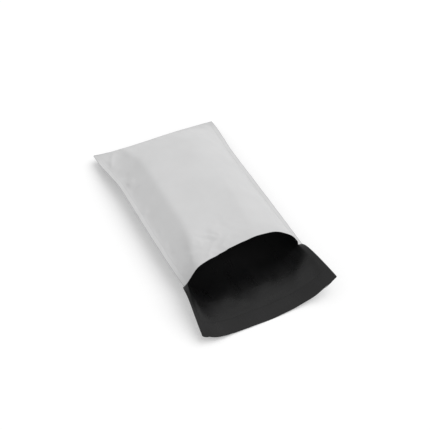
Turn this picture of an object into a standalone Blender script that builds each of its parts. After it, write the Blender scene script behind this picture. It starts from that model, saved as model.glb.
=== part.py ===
"""A poly mailer: one folded and side-welded film bag, lying on its back with its mouth open, and the closure
strip on its flap. Metres, +Z up. The closed end is towards +Y, the mouth and the flap are towards -Y."""

import bpy
import numpy as np

# The film and its cut sizes
BAG_WIDTH = 0.1524
POUCH_LENGTH = 0.2286
FLAP_LENGTH = 0.060
FILM = 0.00008
SIDE_WELD = 0.005
FLAP_CORNER = 0.0025

# The closure strip on the flap
STRIP_WIDTH = 0.025
STRIP_SETBACK = 0.0175
STRIP_THICKNESS = 0.0002
STRIP_CLEARANCE = 0.0003

# Heights of the two side welds above the floor, over the belly and at the mouth, and of the flap's two corners
LEFT_BELLY_HEIGHT = 0.0190
LEFT_MOUTH_HEIGHT = 0.0228
RIGHT_BELLY_HEIGHT = 0.0141
RIGHT_MOUTH_HEIGHT = 0.0162
LEFT_CORNER_HEIGHT = 0.0070
RIGHT_CORNER_HEIGHT = 0.0194

# Lengths of film that curve up from the flat bottom to each side, over the belly, at the mouth and at the flap's edge
LEFT_BELLY_TURN_UP = 0.0365
LEFT_MOUTH_TURN_UP = 0.0415
RIGHT_TURN_UP = 0.0505
LEFT_FLAP_TURN_UP = 0.0520
RIGHT_FLAP_TURN_UP = 0.0735

# The belly fills out over this length from the closed end, and changes towards the mouth at these powers of its share
BELLY_RUN = 0.080
MOUTH_FLARE = 3.4
SECTION_SWEEP = 4.0
FLAP_EASE = 0.91

# The front panel: a steep left flank up to a soft ridge, a gentle plateau and a round right shoulder
RIDGE = 0.0315
RIDGE_AT_MOUTH = 0.0203
RIDGE_TURN = 0.160
RIDGE_BLEND = 0.0105
RIDGE_BLEND_AT_MOUTH = 0.0144
PLATEAU_START = 0.21
PLATEAU_END = -0.04
PLATEAU_END_AT_MOUTH = -0.224
SHOULDER = 0.024
SHOULDER_AT_MOUTH = 0.0132
SHOULDER_BLEND = 0.085
LIP_SLACK = 0.0006
LIP_SLACK_SWEEP = 7.0

# Each side weld follows the front panel's slope by this share, and the back panel's by the rest
LEFT_WELD_SHARE = 0.95
RIGHT_WELD_SHARE = 0.48
SIDE_EASE = 0.010

# Next to the left weld the front panel rises less, by this share, over a short width
WELD_ROOT = 0.006
WELD_ROOT_SHARE = 0.62

# The closed end curls up off the floor, and its left corner is drawn inwards, outwards along the bag, and up
END_LIFT = 0.0066
CORNER_INWARDS = 0.0014
CORNER_ALONG = 0.0030
CORNER_UP = 0.0026
END_RUN = 0.060

# How finely the film is divided
ACROSS = 24
POUCH_ROWS = 20
FACE_STEPS = 5

STEEPEST = 1.5
HALVINGS = 26

INNER_WIDTH = BAG_WIDTH - 2 * SIDE_WELD
STEP = INNER_WIDTH / (ACROSS * FACE_STEPS)
MIDDLES = (np.arange(ACROSS * FACE_STEPS)[None, :] + 0.5) * STEP
NODES = np.arange(ACROSS * FACE_STEPS + 1) * STEP


def clear_scene():
    for item in list(bpy.data.objects):
        bpy.data.objects.remove(item, do_unlink=True)


def smooth_step(value):
    value = np.clip(value, 0, 1)
    return value * value * (3 - 2 * value)


def solve(measure, goal, low, high):
    """The value between low and high at which a rising measure meets its goal, one for each row."""
    low, high = low + 0 * goal, high + 0 * goal
    for _ in range(HALVINGS):
        middle = (low + high) / 2
        short = measure(middle) < goal
        low = np.where(short, middle, low)
        high = np.where(short, high, middle)
    return (low + high) / 2


def rise(angles):
    return STEP * np.sin(angles).sum(axis=1, keepdims=True)


def reach(angles):
    return STEP * np.cos(angles).sum(axis=1, keepdims=True)


def section(angles):
    """x and z along a film section from its left weld line, whose slope angles are given."""
    start = np.zeros((len(angles), 1))
    x = np.concatenate([start, STEP * np.cumsum(np.cos(angles), axis=1)], axis=1)
    z = np.concatenate([start, STEP * np.cumsum(np.sin(angles), axis=1)], axis=1)
    return x, z


def turn_up(distance, length, height):
    """Slope angles of film that lies flat and curves up over a length to a weld at a height."""
    shape = 1 - smooth_step(distance / length)
    steepness = solve(lambda steep: rise(steep * shape), height, 0, STEEPEST)
    return steepness * shape


def back_panel_angles(left_height, right_height, left_length, right_length):
    left = turn_up(MIDDLES, left_length, left_height)
    right = turn_up(INNER_WIDTH - MIDDLES, right_length, right_height)
    return right - left


def front_panel_angles(width, drop, stations):
    """Slope angles of the front panel, as long as the back one, over a given width between the welds."""
    swept = (stations / POUCH_LENGTH) ** SECTION_SWEEP
    turned = smooth_step((stations - RIDGE_TURN) / (POUCH_LENGTH - RIDGE_TURN))
    ridge = RIDGE + (RIDGE_AT_MOUTH - RIDGE) * turned
    blend = RIDGE_BLEND + (RIDGE_BLEND_AT_MOUTH - RIDGE_BLEND) * turned
    flank = 1 - smooth_step((MIDDLES - ridge) / blend + 0.5)
    along = np.clip((MIDDLES - ridge) / (INNER_WIDTH - ridge), 0, 1)
    plateau_end = PLATEAU_END + (PLATEAU_END_AT_MOUTH - PLATEAU_END) * swept
    plateau = PLATEAU_START + (plateau_end - PLATEAU_START) * along
    root = 1 - WELD_ROOT_SHARE * (1 - smooth_step(MIDDLES / WELD_ROOT))
    climb = (plateau + (1 - plateau) * flank) * root
    shoulder_edge = INNER_WIDTH - SHOULDER - (SHOULDER_AT_MOUTH - SHOULDER) * swept
    shoulder = smooth_step((MIDDLES - shoulder_edge) / SHOULDER_BLEND + 0.5)

    def angles(steep, fall):
        return steep * climb * (1 - shoulder) - fall * shoulder

    def level(steep):
        return solve(lambda fall: -rise(angles(steep, fall)), drop, -STEEPEST / 3, STEEPEST)

    steepness = solve(lambda steep: INNER_WIDTH - reach(angles(steep, level(steep))), INNER_WIDTH - width,
                      0, STEEPEST)
    return angles(steepness, level(steepness))


def flap_stations():
    """Rows of the flap with the strip's two edges among them, and the half width of the film at each."""
    end = POUCH_LENGTH + FLAP_LENGTH
    strip_end = end - STRIP_SETBACK
    strip_start = strip_end - STRIP_WIDTH
    corner_start = end - FLAP_CORNER
    straight = np.concatenate([
        np.linspace(POUCH_LENGTH, strip_start, 3)[1:],
        np.linspace(strip_start, strip_end, 4)[1:],
        np.linspace(strip_end, corner_start, 3)[1:],
    ])
    turn = np.radians([30, 60, 90])
    stations = np.concatenate([straight, corner_start + FLAP_CORNER * np.sin(turn)])
    half_widths = np.full(len(stations), BAG_WIDTH / 2)
    half_widths[-len(turn):] -= FLAP_CORNER * (1 - np.cos(turn))
    strip_rows = [POUCH_ROWS + 1 + int(np.argmin(abs(stations - edge))) for edge in (strip_start, strip_end)]
    return stations, half_widths, strip_rows


def columns(half_width):
    """Places of the film's columns across its flat width, from the left weld line: two cut edges, the rest even."""
    places = np.concatenate([[-SIDE_WELD], NODES[::FACE_STEPS], [INNER_WIDTH + SIDE_WELD]])
    middle = INNER_WIDTH / 2
    return middle + (places - middle) * half_width / (BAG_WIDTH / 2)


def lay_out(x, z, left_slope, right_slope, half_widths):
    """Each row's points at the film's columns. Past the weld lines the film runs on straight."""
    rows = []
    for row in range(len(x)):
        places = columns(half_widths[row])
        inside = np.clip(places, 0, INNER_WIDTH)
        out = places - inside
        slope = np.where(out < 0, left_slope[row, 0], right_slope[row, 0])
        rows.append(np.stack([np.interp(inside, NODES, x[row]) + out * np.cos(slope),
                              np.interp(inside, NODES, z[row]) + out * np.sin(slope)], axis=1))
    return np.array(rows)


def end_curl(stations):
    """How far the closed end and its left corner are moved across, along and up, by row and column."""
    side = 2 * (columns(BAG_WIDTH / 2)[None, :] + SIDE_WELD) / BAG_WIDTH - 1
    fade = np.clip(1 - stations / END_RUN, 0, 1)[:, None] ** 2
    corner = fade * np.where(side < 0, abs(side), 0) ** 3
    return np.stack([CORNER_INWARDS * corner, CORNER_ALONG * corner, END_LIFT * fade + CORNER_UP * corner], axis=2)


def run_along(rows, stations):
    """Points of a panel: each column keeps its true length between rows, so y follows from x and z."""
    spacing = np.diff(stations)[:, None]
    moved = np.diff(rows, axis=0)
    left_over = np.maximum(spacing ** 2 - (moved ** 2).sum(axis=2), (0.2 * spacing) ** 2)
    y = np.concatenate([np.zeros((1, rows.shape[1])), -np.cumsum(np.sqrt(left_over), axis=0)])
    return np.stack([rows[:, :, 0], y, rows[:, :, 1]], axis=2)


def film_faces():
    """The inner faces of the two panels as grids of points, rows from the closed end, columns from the left."""
    pouch = np.linspace(0, POUCH_LENGTH, POUCH_ROWS + 1)
    flap, flap_half_widths, _ = flap_stations()
    stations = np.concatenate([pouch, flap])
    half_widths = np.concatenate([np.full(len(pouch), BAG_WIDTH / 2), flap_half_widths])
    pouch_rows, flap_rows = pouch[:, None], flap[:, None]
    share = pouch_rows / POUCH_LENGTH
    filled = 1 - np.clip(1 - pouch_rows / BELLY_RUN, 0, 1) ** 2
    flared = share ** MOUTH_FLARE
    to_edge = np.clip((POUCH_LENGTH + FLAP_LENGTH - flap_rows) / FLAP_LENGTH, 0, 1)
    ease = 1 - to_edge ** FLAP_EASE

    def blended(over_belly, at_mouth, at_edge, fill=1):
        return np.concatenate([over_belly * fill + (at_mouth - over_belly) * flared,
                               at_mouth + (at_edge - at_mouth) * ease])

    left_height = blended(LEFT_BELLY_HEIGHT, LEFT_MOUTH_HEIGHT, LEFT_CORNER_HEIGHT, filled)
    right_height = blended(RIGHT_BELLY_HEIGHT, RIGHT_MOUTH_HEIGHT, RIGHT_CORNER_HEIGHT, filled)
    back_angles = back_panel_angles(left_height, right_height,
                                    blended(LEFT_BELLY_TURN_UP, LEFT_MOUTH_TURN_UP, LEFT_FLAP_TURN_UP),
                                    blended(RIGHT_TURN_UP, RIGHT_TURN_UP, RIGHT_FLAP_TURN_UP))
    back_x, back_z = section(back_angles)
    last = len(pouch)
    width = back_x[:last, -1:]
    front_angles = front_panel_angles(width - LIP_SLACK * share ** LIP_SLACK_SWEEP,
                                      (left_height - right_height)[:last], pouch_rows)
    front_x, front_z = section(front_angles)
    front_x *= width / front_x[:, -1:]

    weld_share = np.where(MIDDLES < INNER_WIDTH / 2, LEFT_WELD_SHARE, RIGHT_WELD_SHARE)
    welded = weld_share * front_angles + (1 - weld_share) * back_angles[:last]
    kept = np.exp((POUCH_LENGTH - flap_rows) / SIDE_EASE)
    slopes = np.concatenate([welded, back_angles[last:] + (welded[-1:] - back_angles[last:]) * kept])
    middle = back_x[:, -1:] / 2
    back_rows = lay_out(back_x - middle, back_z + left_height, slopes[:, :1], slopes[:, -1:], half_widths)
    front_rows = lay_out(front_x - middle[:last], front_z + left_height[:last], slopes[:last, :1],
                         slopes[:last, -1:], half_widths[:last])
    curl = end_curl(stations)
    back = run_along(back_rows + curl[:, :, [0, 2]], stations)
    front = run_along(front_rows + curl[:last, :, [0, 2]], pouch)
    back[:, :, 1] += curl[:, :, 1]
    front[:, :, 1] += curl[:last, :, 1]
    return weld_sides(front, back)


def weld_sides(front, back):
    """Both panels share their points along each side weld, and the flap goes on from there."""
    last = len(front)
    for column in (0, 1, -2, -1):
        shared = (front[:, column, 1] + back[:last, column, 1]) / 2
        back[last:, column, 1] += shared[-1] - back[last - 1, column, 1]
        front[:, column] = back[:last, column]
        front[:, column, 1] = back[:last, column, 1] = shared
    front[0] = back[0]
    return front, back


def up_normals(grid):
    across = np.gradient(grid, axis=1)
    towards_mouth = np.gradient(grid, axis=0)
    normals = np.cross(towards_mouth, across)
    return normals / np.linalg.norm(normals, axis=2, keepdims=True)


def add_grid(mesh_points, grid):
    """Adds a grid's points to a list and gives their numbers in the same rows and columns."""
    first = len(mesh_points)
    mesh_points.extend(grid.reshape(-1, 3))
    return first + np.arange(grid.shape[0] * grid.shape[1]).reshape(grid.shape[:2])


def join_rows(faces, first, second):
    """Two triangles between each pair of neighbours on two rows, always on the same diagonal."""
    for a, b, c, d in zip(first[:-1], first[1:], second[1:], second[:-1]):
        for triangle in ((a, b, c), (a, c, d)):
            if len(set(triangle)) == 3:
                faces.append(tuple(int(corner) for corner in triangle))


def join_grid(faces, numbers):
    for first, second in zip(numbers[:-1], numbers[1:]):
        join_rows(faces, first, second)


def parted(faces):
    """The faces without those that both panels share: in the pouch's corners they are welded together."""
    corners = [tuple(sorted(face)) for face in faces]
    return [face for face, key in zip(faces, corners) if corners.count(key) == 1]


def solid(name, points, faces, materials, material_of_face):
    mesh = bpy.data.meshes.new(name)
    mesh.from_pydata([tuple(point) for point in points], [], faces)
    for material in materials:
        mesh.materials.append(material)
    mesh.polygons.foreach_set("material_index", material_of_face)
    mesh.shade_smooth()
    mesh.set_sharp_from_angle(angle=np.radians(40))
    mesh.validate()
    item = bpy.data.objects.new(name, mesh)
    bpy.context.scene.collection.objects.link(item)
    bpy.ops.object.select_all(action="DESELECT")
    bpy.context.view_layer.objects.active = item
    item.select_set(True)
    bpy.ops.object.mode_set(mode="EDIT")
    bpy.ops.mesh.select_all(action="SELECT")
    bpy.ops.mesh.normals_make_consistent(inside=False)
    bpy.ops.object.mode_set(mode="OBJECT")
    return item


def film_material(name, colour, roughness):
    material = bpy.data.materials.new(name)
    material.use_nodes = True
    shader = material.node_tree.nodes["Principled BSDF"]
    shader.inputs["Base Color"].default_value = (*colour, 1)
    shader.inputs["Roughness"].default_value = roughness
    shader.inputs["Metallic"].default_value = 0
    return material


def white_film():
    return film_material("white_film", (0.62, 0.62, 0.62), 0.45)


def black_film():
    return film_material("black_film", (0.02, 0.02, 0.021), 0.4)


def clear_adhesive():
    return film_material("clear_adhesive", (0.03, 0.03, 0.031), 0.3)


def film_pouch(front, back):
    """The bag as one solid: both panels' inner and outer faces, the weld and flap edges, and the lip."""
    front_outer = front + FILM * up_normals(front)
    back_outer = back - FILM * up_normals(back)
    fold = back[0] + [0, FILM, 0]
    points, inner, outer = [], [], []
    back_in = add_grid(points, back)
    front_in = add_grid(points, front)
    front_in[0] = back_in[0]
    mouth = len(front) - 1
    for column in (0, 1, -2, -1):
        front_in[:, column] = back_in[:mouth + 1, column]
    front_out = add_grid(points, front_outer)
    back_out = add_grid(points, back_outer)
    fold_line = add_grid(points, fold[None])[0]

    join_grid(inner, front_in[:, 1:-1])
    join_grid(inner, back_in[:mouth + 1, 1:-1])
    join_grid(inner, back_in[mouth:])
    inner = parted(inner)
    join_grid(outer, front_out)
    join_grid(outer, back_out)
    join_rows(outer, front_out[0], fold_line)
    join_rows(outer, fold_line, back_out[0])
    join_rows(outer, front_out[-1], front_in[-1])
    join_rows(outer, back_out[-1], back_in[-1])
    for side in (0, -1):
        join_rows(outer, front_out[:, side], back_in[:mouth + 1, side])
        join_rows(outer, back_in[:, side], back_out[:, side])
        join_rows(outer, [front_out[0, side], fold_line[side]], [back_in[0, side]] * 2)
        join_rows(outer, [fold_line[side], back_out[0, side]], [back_in[0, side]] * 2)
    colours = [0] * len(outer) + [1] * len(inner)
    return solid("film_pouch", points, outer + inner, [white_film(), black_film()], colours)


def adhesive_strip(back):
    """A thin slab that follows the flap's inner face between two of its rows, from weld line to weld line."""
    _, _, (start, end) = flap_stations()
    normals = up_normals(back)[start:end + 1, 1:-1]
    face = back[start:end + 1, 1:-1]
    points, faces = [], []
    under = add_grid(points, face + STRIP_CLEARANCE * normals)
    upper = add_grid(points, face + (STRIP_CLEARANCE + STRIP_THICKNESS) * normals)
    join_grid(faces, under)
    join_grid(faces, upper)
    for edge in (0, -1):
        join_rows(faces, under[edge], upper[edge])
        join_rows(faces, under[:, edge], upper[:, edge])
    return solid("adhesive_strip", points, faces, [clear_adhesive()], [0] * len(faces))


def stand_on_origin(front, back):
    """Moves both panels so that the film's box stands on z = 0, centred on the origin."""
    outer = np.concatenate([(front + FILM * up_normals(front)).reshape(-1, 3),
                            (back - FILM * up_normals(back)).reshape(-1, 3), back.reshape(-1, 3),
                            back[0] + [0, FILM, 0]])
    low, high = outer.min(axis=0), outer.max(axis=0)
    shift = np.array([-(low[0] + high[0]) / 2, -(low[1] + high[1]) / 2, -low[2]])
    return front + shift, back + shift


def main():
    clear_scene()
    front, back = stand_on_origin(*film_faces())
    film_pouch(front, back)
    adhesive_strip(back)


main()
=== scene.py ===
import math

import bpy
import numpy as np
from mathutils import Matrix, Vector, noise


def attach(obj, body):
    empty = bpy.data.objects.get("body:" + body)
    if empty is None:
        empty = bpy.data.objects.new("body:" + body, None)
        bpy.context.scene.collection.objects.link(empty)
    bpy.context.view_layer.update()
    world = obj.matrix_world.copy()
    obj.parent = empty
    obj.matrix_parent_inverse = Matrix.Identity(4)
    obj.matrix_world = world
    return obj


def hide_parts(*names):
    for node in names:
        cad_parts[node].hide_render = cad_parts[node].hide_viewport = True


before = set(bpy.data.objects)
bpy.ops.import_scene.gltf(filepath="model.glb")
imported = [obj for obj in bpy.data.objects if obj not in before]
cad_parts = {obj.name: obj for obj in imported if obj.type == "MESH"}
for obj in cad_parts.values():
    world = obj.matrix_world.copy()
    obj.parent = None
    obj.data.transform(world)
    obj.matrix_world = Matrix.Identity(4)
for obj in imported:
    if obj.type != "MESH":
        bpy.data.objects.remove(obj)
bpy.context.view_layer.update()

# the film as it is cut and folded, in metres
filmCut = {
    "width": 0.1524,
    "pouchLength": 0.2286,
    "flapLength": 0.060,
    "weld": 0.005,
    "flapCorner": 0.0025,
    "flapCornerTurns": tuple(range(10, 91, 10)),  # degrees round the corner where a row of points lies
    "endCorner": 0.0024,
    "endCornerTurns": (0, 15, 30, 45, 60, 75),
    "thickness": 0.00012,
    "foldRadius": 0.00035,  # the fold isn't pressed flat
    "foldRoundLength": 0.0016,
    "foldRoundEase": 0.004,
    "smoothAngle": 50,  # degrees
    "weldColumns": 5,  # faces across and along
    "panelColumns": 104,
    "pouchRows": 150,
    "flapRows": 40,
}

# how the bag lies: welds lifted, back panel turned up at both sides, front panel arched between them
bagLie = {
    "leftWeldHeight": (0.0190, 0.0228),  # where there are two values: over the belly, at the mouth
    "rightWeldHeight": (0.0141, 0.0162),
    "leftCornerHeight": 0.0070,  # the flap's corners
    "rightCornerHeight": 0.0194,
    "leftTurnUp": (0.0365, 0.0415),  # width over which the back panel turns up
    "rightTurnUp": (0.0505, 0.0505),
    "leftFlapTurnUp": 0.0520,
    "rightFlapTurnUp": 0.0735,
    "bellyRun": 0.080,  # from the closed end to the full belly
    "mouthFlare": 3.4,  # the higher, the later the change towards the mouth
    "flapEase": 0.91,
    "sideEase": 0.010,  # run over which the flap's sides leave the welds' slope
    "ridge": ((0.0, 0.0285), (0.045, 0.0315), (0.160, 0.0315), (0.2286, 0.0203)),  # place along, then value
    "ridgeBlend": ((0.0, 0.0105), (0.160, 0.0105), (0.2286, 0.0144)),
    "plateauStart": (0.21, 0.23),  # its slope as a share of the flank's, at the ridge and at the right weld
    "plateauEnd": (-0.04, -0.224),
    "shoulder": (0.024, 0.0132),  # how far in from the right weld it starts to fall
    "shoulderBlend": 0.085,
    "sectionSweep": 4.0,
    "lipSlack": 0.0006,  # the front panel stands this much narrower, so it arches more
    "lipSlackSweep": 7.0,
    "endSlack": 0.0002,
    "endSlackRun": 0.012,
    "leftWeldShare": 0.95,  # how far the welds follow the front panel's slope rather than the back's
    "rightWeldShare": 0.48,
    "weldRoot": 0.006,  # beside the left weld the front panel starts less steeply
    "weldRootShare": 0.62,
    "endLift": 0.0066,  # of the closed end off the surface
    "cornerCurl": (0.0014, 0.0030, 0.0026),  # inwards, along and up, at the left corner
    "endRun": 0.060,
    "steepest": 1.5,  # bounds of the slopes that are searched, in radians
    "leastFall": -0.5,
    "leastRun": 0.2,  # least share of a row's spacing that runs along
    "halvings": 26,
    "fineSteps": 416,
}
innerWidth = filmCut["width"] - 2 * filmCut["weld"]
fineStep = innerWidth / bagLie["fineSteps"]
fineMiddles = (np.arange(bagLie["fineSteps"])[None, :] + 0.5) * fineStep
fineNodes = np.arange(bagLie["fineSteps"] + 1) * fineStep
weldBands = (slice(0, filmCut["weldColumns"] + 1), slice(-filmCut["weldColumns"] - 1, None))


def smoothStep(value):
    value = np.clip(value, 0, 1)
    return value * value * (3 - 2 * value)


def blendOver(distance, length):  # from 0 to 1 over the length, halfway at no distance
    return smoothStep(distance / length + 0.5)


def solveRows(measure, goal, low, high):  # halves the span of every row until the measure meets the goal
    low, high = low + 0 * goal, high + 0 * goal
    for _ in range(bagLie["halvings"]):
        middle = (low + high) / 2
        short = measure(middle) < goal
        low = np.where(short, middle, low)
        high = np.where(short, high, middle)
    return (low + high) / 2


def rise(angles):  # height gained across rows of slopes
    return fineStep * np.sin(angles).sum(axis=1, keepdims=True)


def reach(angles):  # width covered by them
    return fineStep * np.cos(angles).sum(axis=1, keepdims=True)


def section(angles):  # their points, from the left weld line
    start = np.zeros((len(angles), 1))
    x = np.concatenate([start, fineStep * np.cumsum(np.cos(angles), axis=1)], axis=1)
    z = np.concatenate([start, fineStep * np.cumsum(np.sin(angles), axis=1)], axis=1)
    return x, z


def turnUp(distance, length, height):  # slopes of a side that reaches the height
    shape = 1 - smoothStep(distance / length)
    steepness = solveRows(lambda steep: rise(steep * shape), height, 0, bagLie["steepest"])
    return steepness * shape


def eased(points, places):  # smooth steps between (place, value) pairs
    places = np.clip(places, points[0][0], points[-1][0])
    value = points[0][1] + 0 * places
    for (start, before), (end, after) in zip(points, points[1:]):
        value += (after - before) * smoothStep((places - start) / (end - start))
    return value


def frontAngles(width, drop, stations, mix):  # as long as the back panel, so the arch follows from the width
    lie = bagLie

    def between(name):
        belly, mouth = lie[name]
        return belly + (mouth - belly) * mix

    ridge = eased(lie["ridge"], stations)
    shoulderEdge = innerWidth - between("shoulder")
    flank = 1 - blendOver(fineMiddles - ridge, eased(lie["ridgeBlend"], stations))
    along = np.clip((fineMiddles - ridge) / (innerWidth - ridge), 0, 1)
    plateau = between("plateauStart") + (between("plateauEnd") - between("plateauStart")) * along
    root = 1 - lie["weldRootShare"] * (1 - mix) * (1 - smoothStep(fineMiddles / lie["weldRoot"]))
    climb = (plateau + (1 - plateau) * flank) * root
    shoulder = blendOver(fineMiddles - shoulderEdge, lie["shoulderBlend"])

    def angles(steep, fall):
        return steep * climb * (1 - shoulder) - fall * shoulder

    def level(steep):
        return solveRows(lambda fall: -rise(angles(steep, fall)), drop, lie["leastFall"], lie["steepest"])

    steepness = solveRows(lambda steep: innerWidth - reach(angles(steep, level(steep))), innerWidth - width,
                          0, lie["steepest"])
    return angles(steepness, level(steepness))


def filmColumns():
    weld = np.linspace(0, filmCut["weld"], filmCut["weldColumns"] + 1)[:-1]
    panel = np.linspace(filmCut["weld"], filmCut["width"] - filmCut["weld"], filmCut["panelColumns"] + 1)
    return np.concatenate([weld, panel, filmCut["width"] - weld[::-1]])


def filmStations():  # rows of the back panel from the fold to the flap's edge, closer at the rounded corners
    end = filmCut["pouchLength"] + filmCut["flapLength"]
    flapTurn, endTurn = np.radians(filmCut["flapCornerTurns"]), np.radians(filmCut["endCornerTurns"])
    cornerStart = end - filmCut["flapCorner"]
    fold = filmCut["endCorner"] * (1 - np.cos(endTurn))
    pouch = np.linspace(filmCut["endCorner"], filmCut["pouchLength"], filmCut["pouchRows"] + 1 - len(fold))
    flap = np.linspace(filmCut["pouchLength"], cornerStart, filmCut["flapRows"] + 1)[1:]
    stations = np.concatenate([fold, pouch, flap, cornerStart + filmCut["flapCorner"] * np.sin(flapTurn)])
    halfWidths = np.full(len(stations), filmCut["width"] / 2)
    halfWidths[:len(fold)] -= filmCut["endCorner"] * (1 - np.sin(endTurn))
    halfWidths[-len(flapTurn):] -= filmCut["flapCorner"] * (1 - np.cos(flapTurn))
    return stations, halfWidths


def layRow(x, z, leftSlope, rightSlope, halfWidth):  # a panel's row, with the welds going straight on
    middle = innerWidth / 2
    places = filmColumns() - filmCut["weld"]
    places = middle + (places - middle) * halfWidth / (filmCut["width"] / 2)
    inside = np.clip(places, 0, innerWidth)
    out = places - inside
    slope = np.where(out < 0, leftSlope, rightSlope)
    return np.stack([np.interp(inside, fineNodes, x) + out * np.cos(slope),
                     np.interp(inside, fineNodes, z) + out * np.sin(slope)], axis=1)


def runAlong(rows, stations):  # each column keeps its length, so y follows from x and z
    spacing = np.diff(stations)[:, None]
    moved = np.diff(rows, axis=0)
    rest = np.maximum(spacing ** 2 - (moved ** 2).sum(axis=2), (bagLie["leastRun"] * spacing) ** 2)
    y = np.concatenate([np.zeros((1, rows.shape[1])), -np.cumsum(np.sqrt(rest), axis=0)])
    return np.stack([rows[:, :, 0], y, rows[:, :, 1]], axis=2)


def layPanels():  # front and back panel as they lie, with y falling from the closed end
    lie = bagLie
    stations, halfWidths = filmStations()
    last = filmCut["pouchRows"] + 1
    pouch, flap = stations[:last, None], stations[last:, None]
    share = pouch / filmCut["pouchLength"]
    filled = 1 - np.clip(1 - pouch / lie["bellyRun"], 0, 1) ** 2
    toEdge = np.clip((stations[-1] - flap) / filmCut["flapLength"], 0, 1)
    ease = 1 - toEdge ** lie["flapEase"]

    def weldHeight(name, cornerName):
        belly, mouth = lie[name]
        return np.concatenate([belly * filled + (mouth - belly) * share ** lie["mouthFlare"],
                               mouth + (lie[cornerName] - mouth) * ease])

    def turnUpLength(name, flapName):
        belly, mouth = lie[name]
        return np.concatenate([belly + (mouth - belly) * share ** lie["mouthFlare"],
                               mouth + (lie[flapName] - mouth) * ease])

    leftHeight = weldHeight("leftWeldHeight", "leftCornerHeight")
    rightHeight = weldHeight("rightWeldHeight", "rightCornerHeight")
    left = turnUp(fineMiddles, turnUpLength("leftTurnUp", "leftFlapTurnUp"), leftHeight)
    right = turnUp(innerWidth - fineMiddles, turnUpLength("rightTurnUp", "rightFlapTurnUp"), rightHeight)
    backSlopes = right - left
    backX, backZ = section(backSlopes)

    nearEnd = pouch / lie["endSlackRun"]
    slack = lie["lipSlack"] * share ** lie["lipSlackSweep"] + lie["endSlack"] * nearEnd * np.exp(1 - nearEnd)
    frontSlopes = frontAngles(backX[:last, -1:] - slack, (leftHeight - rightHeight)[:last],
                              pouch, share ** lie["sectionSweep"])
    frontX, frontZ = section(frontSlopes)
    frontX *= backX[:last, -1:] / frontX[:, -1:]
    weldShare = np.where(fineMiddles < innerWidth / 2, lie["leftWeldShare"], lie["rightWeldShare"])
    welded = weldShare * frontSlopes + (1 - weldShare) * backSlopes[:last]
    sideEase = np.exp((filmCut["pouchLength"] - flap) / lie["sideEase"])
    weldSlopes = np.concatenate([welded, backSlopes[last:] + (welded[-1:] - backSlopes[last:]) * sideEase])

    middle = backX[:, -1:] / 2

    def layRows(x, z):
        return np.array([layRow(x[i] - middle[i], z[i] + leftHeight[i], weldSlopes[i, 0], weldSlopes[i, -1],
                                halfWidths[i]) for i in range(len(x))])

    front, back = layRows(frontX, frontZ), layRows(backX, backZ)
    side = 2 * filmColumns()[None, :] / filmCut["width"] - 1
    fade = np.clip(1 - stations / lie["endRun"], 0, 1)[:, None] ** 2
    corner = fade * np.where(side < 0, abs(side), 0) ** 3
    inwards, along, up = lie["cornerCurl"]
    curl = np.stack([inwards * corner, lie["endLift"] * fade + up * corner], axis=2)
    back += curl
    front += curl[:last]
    front, back = runAlong(front, stations[:last]), runAlong(back, stations)
    back[:, :, 1] += along * corner
    front[:, :, 1] += along * corner[:last]
    return weldSides(front, back)


def weldSides(front, back):  # both panels share the weld bands
    last = len(front)
    for columns in weldBands:
        shared = (front[:, columns, 1] + back[:last, columns, 1]) / 2
        back[last:, columns, 1] += shared[-1] - back[last - 1, columns, 1]
        front[:, columns] = back[:last, columns]
        front[:, columns, 1] = back[:last, columns, 1] = shared
    return front, back


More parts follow.
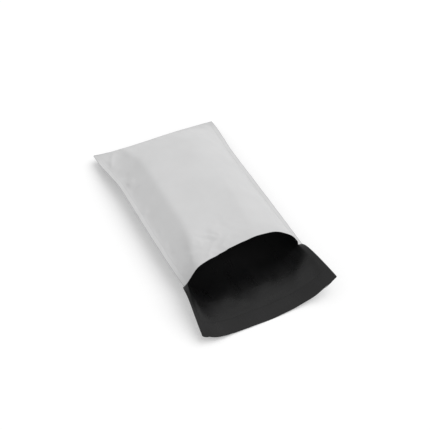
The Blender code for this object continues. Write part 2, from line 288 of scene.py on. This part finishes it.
# waves and creases of the film itself; places are (from the left cut edge, from the closed end), in metres
filmMarks = {
    # waves: height, length, how they stretch and lean (two rows of across and along), seed
    "frontWaves": (0.00026, 0.036, ((1, 0), (0, 0.6)), 3.1),
    "frontRipples": (0.00006, 0.009, ((1, 0), (0, 0.4)), 6.2),
    "lipWaves": (0.0008, 0.016, ((1, 0), (0, 0)), 1.7),
    "lipReach": 0.010,
    "backWaves": (0.00052, 0.036, ((1, 0), (0, 0.7)), 5.7),
    "flapWaves": (0.0006, 0.018, ((1, 0.6), (-0.3, 0.5)), 2.9),
    "flapRun": 0.030,
    "flapRise": ((0.030, 0.241), (0.021, 0.021), 0.0019),  # place, radii, height
    "crumples": (0.0015, 0.0115, ((1, -0.8), (0.4, 0.8)), 8.4),
    "crumplePlace": (0.050, 0.208),
    "crumpleSize": (0.024, 0.020),
    "crumpleLevel": 0.5,
    "crumpleSharpness": 2,
    "weldFade": 0.006,
    "foldFade": 0.006,
    "puckerSeed": 7,
    "puckerEndGap": 0.004,
    "puckerFoldFade": 0.008,
    "puckerSpacing": (0.0085, 0.6, 1.5),  # the size, then the factors it varies between
    "puckerLength": (0.0100, 0.55, 1.5),
    "puckerWidth": (0.0021, 0.8, 1.4),
    "puckerHeight": ((0.00055, 0.4, 1.3), (0.00030, 0.4, 1.3)),  # left, right
    "puckerLean": 0.35,
    "puckerOverWeld": 0.4,
    "creaseTaper": 0.35,
    "creaseRound": 0.35,
    "dips": [  # place, radii, depth
        ((0.076, 0.178), (0.024, 0.034), 0.0009),
        ((0.050, 0.199), (0.010, 0.012), 0.0005),
        ((0.047, 0.230), (0.016, 0.020), 0.0018),
    ],
    "creases": [  # start, end, width, height
        ((0.026, 0.004), (0.003, 0.042), 0.0026, 0.0011),
        ((0.034, -0.004), (0.033, 0.052), 0.0060, 0.0014),
        ((0.018, 0.062), (0.003, 0.056), 0.0018, -0.0007),
        ((0.020, 0.075), (0.003, 0.071), 0.0020, 0.0008),
        ((0.021, 0.086), (0.003, 0.082), 0.0018, -0.0007),
        ((0.104, 0.112), (0.093, 0.236), 0.0095, 0.0016),
        ((0.060, 0.168), (0.046, 0.214), 0.0070, -0.0006),
        ((0.030, 0.184), (0.040, 0.222), 0.0050, 0.0008),
        ((0.034, 0.230), (0.054, 0.206), 0.0028, 0.0008),
        ((0.050, 0.222), (0.070, 0.212), 0.0030, 0.0005),
        ((0.132, 0.002), (0.149, 0.034), 0.0030, 0.0009),
        ((0.116, 0.000), (0.112, 0.040), 0.0050, 0.0005),
    ],
}
steadyRandom = np.random.default_rng(filmMarks["puckerSeed"])


def steadily(size, least, most):  # a random share of the size, the same in each run
    return size * steadyRandom.uniform(least, most)


def unevenness(across, along, waves):  # from about -1 to 1
    _, length, ((acrossShare, leanShare), (crossShare, alongShare)), seed = waves
    x = acrossShare * across + leanShare * along
    y = crossShare * across + alongShare * along
    spots = zip((x / length).ravel(), (y / length).ravel())
    values = [noise.noise(Vector((spotX, spotY, seed))) for spotX, spotY in spots]
    return np.array(values).reshape(across.shape)


def waveField(across, along, waves):
    return waves[0] * unevenness(across, along, waves)


def mound(across, along, place, radii):
    return np.exp(-((across - place[0]) / radii[0]) ** 2 - ((along - place[1]) / radii[1]) ** 2)


def fromWeld(across):
    return np.minimum(across, filmCut["width"] - across) - filmCut["weld"]


def creaseField(across, along, start, end, width, height):
    lineX, lineY = end[0] - start[0], end[1] - start[1]
    place = ((across - start[0]) * lineX + (along - start[1]) * lineY) / (lineX ** 2 + lineY ** 2)
    distance = np.hypot(across - start[0] - place * lineX, along - start[1] - place * lineY)
    ends = filmMarks["creaseTaper"]
    taper = smoothStep(place / ends) * smoothStep((1 - place) / ends)
    soft = filmMarks["creaseRound"] * width
    return height * taper * np.exp(-(np.sqrt(distance ** 2 + soft ** 2) - soft) / width)


def puckerRows(across, along):  # the weld holds the film short, so it puckers along both sides
    marks = filmMarks
    field = np.zeros(across.shape)
    for side in (0, 1):
        place = marks["puckerSpacing"][0]
        while place < filmCut["pouchLength"] - marks["puckerEndGap"]:
            length = steadily(*marks["puckerLength"])
            lean = steadily(length, -marks["puckerLean"], marks["puckerLean"])
            height = steadily(*marks["puckerHeight"][side]) * steadyRandom.choice((-1, 1))
            width = steadily(*marks["puckerWidth"])
            inner, outer = filmCut["weld"] + length, -marks["puckerOverWeld"] * length
            if side:
                inner, outer = filmCut["width"] - inner, filmCut["width"] - outer
            field += creaseField(across, along, (outer, place), (inner, place + lean), width, height)
            place += steadily(*marks["puckerSpacing"])
    return field


def frontRelief(across, along):
    marks = filmMarks
    field = waveField(across, along, marks["frontWaves"]) + waveField(across, along, marks["frontRipples"])
    crumpled = abs(unevenness(across, along, marks["crumples"]))
    ragged = marks["crumpleLevel"] - marks["crumpleSharpness"] * crumpled
    field += marks["crumples"][0] * ragged * mound(across, along, marks["crumplePlace"], marks["crumpleSize"])
    for place, radii, depth in marks["dips"]:
        field -= depth * mound(across, along, place, radii)
    for crease in marks["creases"]:
        field += creaseField(across, along, *crease)
    nearLip = np.exp((along - filmCut["pouchLength"]) / marks["lipReach"])
    return field + nearLip * waveField(across, along, marks["lipWaves"])


def backRelief(across, along):
    marks = filmMarks
    onFlap = smoothStep((along - filmCut["pouchLength"]) / marks["flapRun"] + 1)
    field = marks["backWaves"][0] * unevenness(across, along, marks["backWaves"]) ** 2  # it never dips
    field += onFlap * waveField(across, along, marks["flapWaves"])
    place, radii, height = marks["flapRise"]
    return field + height * mound(across, along, place, radii)


def upNormals(grid):
    normals = np.cross(np.gradient(grid, axis=0), np.gradient(grid, axis=1))
    return normals / np.linalg.norm(normals, axis=2, keepdims=True)


def seamFade(across, along):  # relief of one panel fades out at the welds and at the fold
    return smoothStep(fromWeld(across) / filmMarks["weldFade"]) * smoothStep(along / filmMarks["foldFade"])


def foldRound(across, along):
    ease = smoothStep(fromWeld(across) / filmCut["foldRoundEase"])
    beforeRound = np.clip(1 - along / filmCut["foldRoundLength"], 0, 1)
    return filmCut["foldRadius"] * ease * np.sqrt(1 - beforeRound ** 2)


def filmGrid():  # the inner face of the whole film, from the front panel's lip round the fold to the flap
    front, back = layPanels()
    stations, _ = filmStations()
    last = filmCut["pouchRows"] + 1
    low = np.minimum(front.min(axis=(0, 1)), back.min(axis=(0, 1)))
    high = np.maximum(front.max(axis=(0, 1)), back.max(axis=(0, 1)))
    shift = np.array([-(low[0] + high[0]) / 2, -(low[1] + high[1]) / 2, -low[2]])
    across, along = np.meshgrid(filmColumns(), stations)
    fade = seamFade(across, along)
    puckers = puckerRows(across, along) * smoothStep(along / filmMarks["puckerFoldFade"])
    frontHeight = fade[:last] * frontRelief(across[:last], along[:last]) + puckers[:last]
    backHeight = fade * backRelief(across, along) + puckers
    front += frontHeight[:, :, None] * upNormals(front)
    back += backHeight[:, :, None] * upNormals(back)
    for columns in weldBands:
        front[:, columns] = back[:last, columns]
    front[:, :, 2] = np.maximum(front[:, :, 2], back[:last, :, 2])
    front[:, :, 2] += foldRound(across, along)[:last]
    whole = np.concatenate([front[::-1], back[1:]]) + shift
    whole[:, :, 2] += filmCut["thickness"] - whole[:, :, 2].min()
    lengths = filmCut["pouchLength"] + np.concatenate([-stations[:last][::-1], stations[1:]])
    return whole, filmColumns(), lengths


def makeSheet(name, grid, acrossPlaces, alongPlaces):  # a flat grid whose points go to their places
    bpy.ops.object.select_all(action="DESELECT")
    rows, columns = grid.shape[:2]
    bpy.ops.mesh.primitive_grid_add(x_subdivisions=columns - 1, y_subdivisions=rows - 1, size=1)
    sheet = bpy.context.object
    sheet.name = name
    mesh = sheet.data
    flat = np.empty(3 * len(mesh.vertices))
    mesh.vertices.foreach_get("co", flat)
    flat = flat.reshape(-1, 3)
    column = np.rint((flat[:, 0] + 0.5) * (columns - 1)).astype(int)
    row = np.rint((flat[:, 1] + 0.5) * (rows - 1)).astype(int)
    mesh.vertices.foreach_set("co", grid[row, column].ravel())
    corner = np.empty(len(mesh.loops), dtype=np.int32)
    mesh.loops.foreach_get("vertex_index", corner)
    film = np.stack([acrossPlaces[column], alongPlaces[row]], axis=1)  # the UV map is the flat film
    mesh.uv_layers.active.data.foreach_set("uv", film[corner].ravel())
    mesh.update()
    return sheet


def thicken(sheet, thickness, innerSlot):
    bpy.ops.object.select_all(action="DESELECT")
    sheet.select_set(True)
    bpy.context.view_layer.objects.active = sheet
    wall = sheet.modifiers.new("wall", "SOLIDIFY")
    wall.thickness = thickness
    wall.offset = 1
    wall.use_even_offset = False
    wall.material_offset = innerSlot
    bpy.ops.object.modifier_apply(modifier="wall")
    bpy.ops.object.shade_smooth_by_angle(angle=math.radians(filmCut["smoothAngle"]))


def addNode(tree, kind, **values):
    item = tree.nodes.new(kind)
    for name, value in values.items():
        setattr(item, name, value)
    return item


def calculate(tree, operation, *values):
    item = addNode(tree, "ShaderNodeMath", operation=operation)
    for socket, value in zip(item.inputs, values):
        if isinstance(value, bpy.types.NodeSocket):
            tree.links.new(value, socket)
        else:
            socket.default_value = value
    return item.outputs["Value"]


def fadeOut(tree, distance, reach, strength):  # full strength at no distance, none past the reach
    item = addNode(tree, "ShaderNodeMapRange", interpolation_type="SMOOTHSTEP")
    item.inputs["From Max"].default_value = reach
    item.inputs["To Min"].default_value = strength
    item.inputs["To Max"].default_value = 0
    tree.links.new(distance, item.inputs["Value"])
    return item.outputs["Result"]


def noiseNode(tree, vector, scale, detail):
    item = addNode(tree, "ShaderNodeTexNoise")
    item.inputs["Scale"].default_value = scale
    item.inputs["Detail"].default_value = detail
    tree.links.new(vector, item.inputs["Vector"])
    return item.outputs["Fac"]


def bumpNode(tree, height, strength, distance, normal=None):
    item = addNode(tree, "ShaderNodeBump")
    item.inputs["Strength"].default_value = strength
    item.inputs["Distance"].default_value = distance
    tree.links.new(height, item.inputs["Height"])
    if normal:
        tree.links.new(normal, item.inputs["Normal"])
    return item.outputs["Normal"]


def filmMaterial(name, look):
    material = bpy.data.materials.new(name)
    material.use_nodes = True
    tree = material.node_tree
    link = tree.links.new
    shader = tree.nodes["Principled BSDF"]
    shader.inputs["IOR"].default_value = look["ior"]
    shader.inputs["Specular IOR Level"].default_value = look["specular"]
    uv = addNode(tree, "ShaderNodeUVMap", uv_map="UVMap").outputs["UV"]
    place = addNode(tree, "ShaderNodeSeparateXYZ")
    link(uv, place.inputs["Vector"])
    across, along = place.outputs["X"], place.outputs["Y"]

    shade = addNode(tree, "ShaderNodeValToRGB")  # pigment is a little uneven in blown film
    stops = shade.color_ramp.elements
    for stop, position, colour in zip(stops, look["noiseSpread"], (look["darker"], look["lighter"])):
        stop.position = position
        stop.color = (*colour, 1)
    link(noiseNode(tree, uv, look["blotchScale"], look["blotchDetail"]), shade.inputs["Fac"])

    toEdge = calculate(tree, "MINIMUM", across, calculate(tree, "SUBTRACT", filmCut["width"], across))
    toWeldLine = calculate(tree, "ABSOLUTE", calculate(tree, "SUBTRACT", toEdge, filmCut["weld"]))
    toFold = calculate(tree, "ABSOLUTE", calculate(tree, "SUBTRACT", along, filmCut["pouchLength"]))
    onPouch = calculate(tree, "LESS_THAN", along, 2 * filmCut["pouchLength"])

    def shadeNear(distance, name):
        return fadeOut(tree, distance, look[name + "Reach"], look[name + "Shade"])

    # painted shade: the white film darkens in a band by the closed end's fold, and partly along the fold line
    # and cut edges; it also darkens towards the lip
    wearAndPaintedShade = calculate(tree, "ADD", shadeNear(toFold, "fold"), shadeNear(toFold, "foldLine"))
    wearAndPaintedShade = calculate(tree, "ADD", wearAndPaintedShade, shadeNear(along, "lip"))
    wearAndPaintedShade = calculate(tree, "MAXIMUM", wearAndPaintedShade, shadeNear(toEdge, "edge"))
    weldLine = calculate(tree, "MULTIPLY", onPouch, shadeNear(toWeldLine, "weld"))
    wearAndPaintedShade = calculate(tree, "MAXIMUM", wearAndPaintedShade, weldLine)
    wornAndShaded = addNode(tree, "ShaderNodeMix", data_type="RGBA")  # the other layer at the weld lines, and partly at the fold line and cut edges; painted shade in a band by the fold; darker towards the lip
    link(wearAndPaintedShade, wornAndShaded.inputs["Factor"])
    link(shade.outputs["Color"], wornAndShaded.inputs["A"])
    wornAndShaded.inputs["B"].default_value = (*look["underneathAndShade"], 1)
    colour = wornAndShaded.outputs["Result"]
    if "paintedGlowColour" in look:  # painted light: the inside is lighter away from the mouth, standing in for light let through the film
        paintedGlow = addNode(tree, "ShaderNodeMix", data_type="RGBA")
        toMouth = calculate(tree, "SUBTRACT", 2 * filmCut["pouchLength"], along)
        nearMouth = fadeOut(tree, toMouth, look["paintedGlowReach"], 1)
        link(calculate(tree, "SUBTRACT", 1.0, nearMouth), paintedGlow.inputs["Factor"])
        link(colour, paintedGlow.inputs["A"])
        paintedGlow.inputs["B"].default_value = (*look["paintedGlowColour"], 1)
        colour = paintedGlow.outputs["Result"]
    link(colour, shader.inputs["Base Color"])

    stretch = addNode(tree, "ShaderNodeMapping")  # draw lines run along the film
    stretch.inputs["Scale"].default_value = (1, look["drawStretch"], 1)
    link(uv, stretch.inputs["Vector"])
    drawn = noiseNode(tree, stretch.outputs["Vector"], look["lineScale"], look["lineDetail"])
    gloss = addNode(tree, "ShaderNodeMapRange")
    gloss.inputs["From Min"].default_value = look["noiseSpread"][0]
    gloss.inputs["From Max"].default_value = look["noiseSpread"][1]
    gloss.inputs["To Min"].default_value = look["roughness"][0]
    gloss.inputs["To Max"].default_value = look["roughness"][1]
    link(drawn, gloss.inputs["Value"])
    link(gloss.outputs["Result"], shader.inputs["Roughness"])

    inWeld = calculate(tree, "MULTIPLY", onPouch, calculate(tree, "LESS_THAN", toEdge, filmCut["weld"]))
    knurl = addNode(tree, "ShaderNodeTexWave", bands_direction="Y")  # the sealing bar's ribs
    knurl.inputs["Scale"].default_value = look["knurlScale"]
    link(uv, knurl.inputs["Vector"])
    ribs = calculate(tree, "MULTIPLY", knurl.outputs["Fac"], inWeld)
    peel = noiseNode(tree, uv, look["peelScale"], look["peelDetail"])
    surface = bumpNode(tree, peel, look["peelStrength"], look["peelDepth"])
    surface = bumpNode(tree, ribs, look["knurlStrength"], look["knurlDepth"], surface)
    surface = bumpNode(tree, drawn, look["lineStrength"], look["lineDepth"], surface)
    link(surface, shader.inputs["Normal"])
    return material


plainLook = {  # what each finish has unless it says otherwise
    "noiseSpread": (0.3, 0.7),
    "foldReach": 0.001,
    "foldShade": 0.0,
    "foldLineReach": 0.001,
    "foldLineShade": 0.0,
    "lipReach": 0.001,
    "lipShade": 0.0,
    "edgeReach": 0.0006,
    "weldReach": 0.0008,
    "weldShade": 0.10,
    "knurlScale": 420,
    "knurlStrength": 0.35,
    "knurlDepth": 0.0002,
    "blotchScale": 38,
    "blotchDetail": 3,
    "drawStretch": 0.18,
    "lineScale": 160,
    "lineDetail": 4,
    "lineDepth": 0.0004,
    "peelScale": 900,
    "peelDetail": 2,
    "peelDepth": 0.0002,
}
whiteLook = {
    **plainLook,
    "darker": (0.628, 0.628, 0.630),
    "lighter": (0.656, 0.656, 0.658),
    "ior": 1.5,
    "specular": 0.32,
    "roughness": (0.38, 0.48),
    "underneathAndShade": (0.16, 0.16, 0.165),
    # painted shade: a band darker by the closed end's fold
    "foldReach": 0.022,
    "foldShade": 0.13,
    # the fold line: partly the black layer at the stretched fold, partly painted shade
    "foldLineReach": 0.0035,
    "foldLineShade": 0.22,
    # darker towards the lip
    "lipReach": 0.032,
    "lipShade": 0.05,
    # cut edges: partly the black layer at the cut, partly painted shade
    "edgeReach": 0.0009,
    "edgeShade": 0.45,
    "lineStrength": 0.10,
    "peelStrength": 0.25,
}
blackLook = {
    **plainLook,
    "darker": (0.004, 0.004, 0.0042),
    "lighter": (0.007, 0.007, 0.0072),
    # painted light: lighter inside the pouch away from the mouth
    "paintedGlowColour": (0.036, 0.036, 0.0365),
    "paintedGlowReach": 0.055,
    "ior": 1.42,
    "specular": 0.42,
    "roughness": (0.26, 0.34),
    "underneathAndShade": (0.12, 0.12, 0.12),
    "edgeShade": 0.4,
    "lineStrength": 0.04,
    "peelStrength": 0.12,
}
whiteFilm = filmMaterial("whiteFilm", whiteLook)
blackFilm = filmMaterial("blackFilm", blackLook)

grid, acrossPlaces, alongPlaces = filmGrid()
mailer = makeSheet("mailerFilm", grid, acrossPlaces, alongPlaces)
mailer.data.materials.append(whiteFilm)
mailer.data.materials.append(blackFilm)
thicken(mailer, filmCut["thickness"], 1)
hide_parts("film_pouch")
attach(mailer, "root")
print("film folded and welded:", len(mailer.data.vertices), "points")

# the clear closure strip lies on the flap's inner face
strip = {
    "width": 0.025,
    "setback": 0.0175,
    "thickness": 0.00008,
    "above": 0.00002,
    "rows": 18,
}
stripLook = {
    **plainLook,
    "darker": (0.005, 0.005, 0.0052),
    "lighter": (0.009, 0.009, 0.0092),
    "ior": 1.42,
    "specular": 0.42,
    "roughness": (0.24, 0.36),
    "underneathAndShade": (0.05, 0.05, 0.05),
    "edgeShade": 0.0,
    "weldShade": 0.0,
    "knurlStrength": 0.0,
    "blotchScale": 60,
    "drawStretch": 3,
    "lineScale": 45,
    "lineStrength": 0.06,
    "peelScale": 500,
    "peelStrength": 0.3,
}


def stripGrid():  # rows between those of the flap, from weld line to weld line
    end = alongPlaces[-1] - strip["setback"]
    rows = np.linspace(end - strip["width"], end, strip["rows"])
    inside = slice(filmCut["weldColumns"], -filmCut["weldColumns"])
    pastFold = filmCut["pouchRows"] + 1  # at the fold itself the welded rows meet and have no normal
    back, places = grid[pastFold:], alongPlaces[pastFold:]
    above = np.searchsorted(places, rows) - 1
    share = ((rows - places[above]) / (places[above + 1] - places[above]))[:, None, None]
    normals = upNormals(back)
    face = back[above] * (1 - share) + back[above + 1] * share
    lift = normals[above] * (1 - share) + normals[above + 1] * share
    return (face + strip["above"] * lift)[:, inside], acrossPlaces[inside], rows


adhesive = makeSheet("closureStrip", *stripGrid())
adhesive.data.materials.append(filmMaterial("clearAdhesive", stripLook))
bpy.ops.object.mode_set(mode="EDIT")  # turned over, so its wall grows away from the flap
bpy.ops.mesh.select_all(action="SELECT")
bpy.ops.mesh.flip_normals()
bpy.ops.object.mode_set(mode="OBJECT")
thicken(adhesive, strip["thickness"], 0)
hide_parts("adhesive_strip")
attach(adhesive, "root")
print("closure strip laid on the flap")

# stage, light and camera
stage = {
    "floorSize": 4,
    "floorDepth": 0.0001,
    "floorColour": (0.80, 0.80, 0.80),
    "floorGlow": 0.24,
    "bounceColour": (0.34, 0.34, 0.34),
    "worldLight": 0.80,
    "keyStrength": 1.27,
    "keyFrom": (0.483, -0.10, 0.876),
    "keyPlace": (0.5, 0.3, 0.8),
    "keySoftness": 60,
}
shot = {
    "target": (0.01201, 0.00605, 0.0),
    "azimuth": -26.61,
    "elevation": 46.17,
    "distance": 0.9289,
    "lens": 71.163,
    "sensor": 36,
}


def backgroundRays(tree):  # the camera, gloss and clear things all see the white background
    path = addNode(tree, "ShaderNodeLightPath")
    seen = calculate(tree, "MAXIMUM", path.outputs["Is Camera Ray"], path.outputs["Is Glossy Ray"])
    return calculate(tree, "MAXIMUM", seen, path.outputs["Is Transmission Ray"])


def splitByRay(tree, outputKind, lighting, background):
    choose = addNode(tree, "ShaderNodeMixShader")
    output = addNode(tree, outputKind)
    tree.links.new(backgroundRays(tree), choose.inputs["Fac"])
    tree.links.new(lighting, choose.inputs[1])
    tree.links.new(background, choose.inputs[2])
    tree.links.new(choose.outputs["Shader"], output.inputs["Surface"])


bpy.ops.object.select_all(action="DESELECT")
bpy.ops.mesh.primitive_plane_add(size=stage["floorSize"], location=(0, 0, -stage["floorDepth"]))
floor = bpy.context.object
floor.name = "floor"
paper = bpy.data.materials.new("floorPaper")
paper.use_nodes = True
tree = paper.node_tree
tree.nodes.clear()
pale = addNode(tree, "ShaderNodeBsdfDiffuse")
pale.inputs["Color"].default_value = (*stage["floorColour"], 1)
glow = addNode(tree, "ShaderNodeEmission")
glow.inputs["Strength"].default_value = stage["floorGlow"]
bright = addNode(tree, "ShaderNodeAddShader")
bounce = addNode(tree, "ShaderNodeBsdfDiffuse")
bounce.inputs["Color"].default_value = (*stage["bounceColour"], 1)
tree.links.new(pale.outputs["BSDF"], bright.inputs[0])
tree.links.new(glow.outputs["Emission"], bright.inputs[1])
splitByRay(tree, "ShaderNodeOutputMaterial", bounce.outputs["BSDF"], bright.outputs["Shader"])
floor.data.materials.append(paper)

world = bpy.data.worlds.new("studio")
bpy.context.scene.world = world
world.use_nodes = True
tree = world.node_tree
tree.nodes.clear()
sky = addNode(tree, "ShaderNodeBackground")
sky.inputs["Strength"].default_value = stage["worldLight"]
white = addNode(tree, "ShaderNodeBackground")
white.inputs["Color"].default_value = (1, 1, 1, 1)
white.inputs["Strength"].default_value = 1
splitByRay(tree, "ShaderNodeOutputWorld", sky.outputs["Background"], white.outputs["Background"])

bpy.ops.object.light_add(type="SUN", location=stage["keyPlace"])
key = bpy.context.object
key.name = "keyLight"
key.data.energy = stage["keyStrength"]
key.data.angle = math.radians(stage["keySoftness"])
key.visible_glossy = False  # its disc would show as a hard patch on the black film
key.rotation_euler = Vector(stage["keyFrom"]).to_track_quat("Z", "Y").to_euler()
print("floor and light set")

turn, tilt = math.radians(shot["azimuth"]), math.radians(shot["elevation"])
towardsCamera = Vector((math.sin(turn) * math.cos(tilt), -math.cos(turn) * math.cos(tilt), math.sin(tilt)))
bpy.ops.object.camera_add(location=Vector(shot["target"]) + shot["distance"] * towardsCamera)
camera = bpy.context.object
camera.rotation_euler = towardsCamera.to_track_quat("Z", "Y").to_euler()
camera.data.sensor_width = shot["sensor"]
camera.data.lens = shot["lens"]
bpy.context.scene.camera = camera
bpy.context.scene.view_settings.view_transform = "Standard"

print("camera placed")
